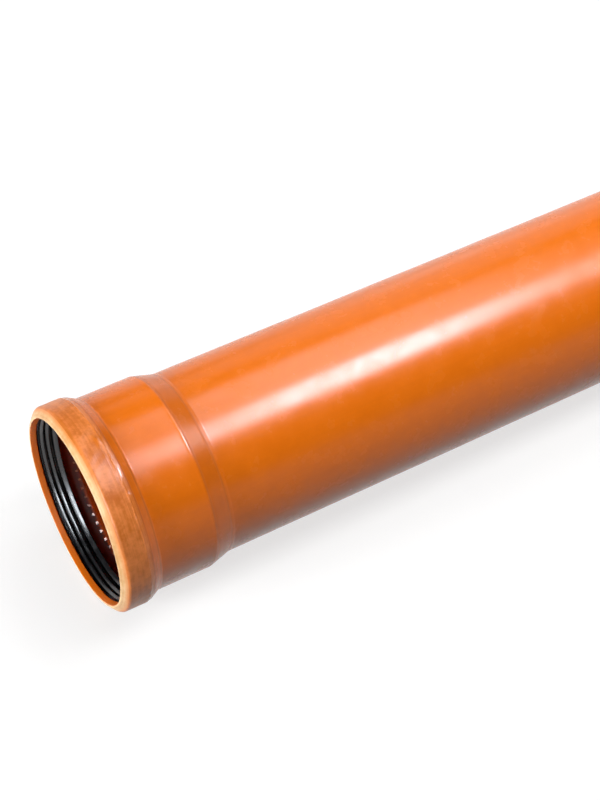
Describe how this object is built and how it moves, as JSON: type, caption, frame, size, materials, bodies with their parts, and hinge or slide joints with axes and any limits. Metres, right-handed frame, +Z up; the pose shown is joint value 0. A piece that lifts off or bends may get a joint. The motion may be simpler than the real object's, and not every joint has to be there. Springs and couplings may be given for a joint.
{
  "type": "socketed sewer pipe",
  "caption": "Straight orange-brown PVC drain pipe with a belled socket, a raised ring groove holding a black rubber lip seal, and a bevelled spigot end for push-fit laying.",
  "frame": {"origin": "centre of the bottom of the bounding box, on the floor that the pipe lies on", "axes": "+X along the pipe from the socket's mouth to the spigot, dipping 0.61 degrees because the bead is thicker than the spigot; +Z up"},
  "size_m": [1.0876, 0.1824, 0.1826],
  "materials": {
    "pvc": "smooth orange-brown, semi-gloss",
    "seal": "black, satin, lightly greased"
  },
  "bodies": {
    "root": {"pipe": "pvc", "seal_ring": "seal"}
  },
  "joints": []
}
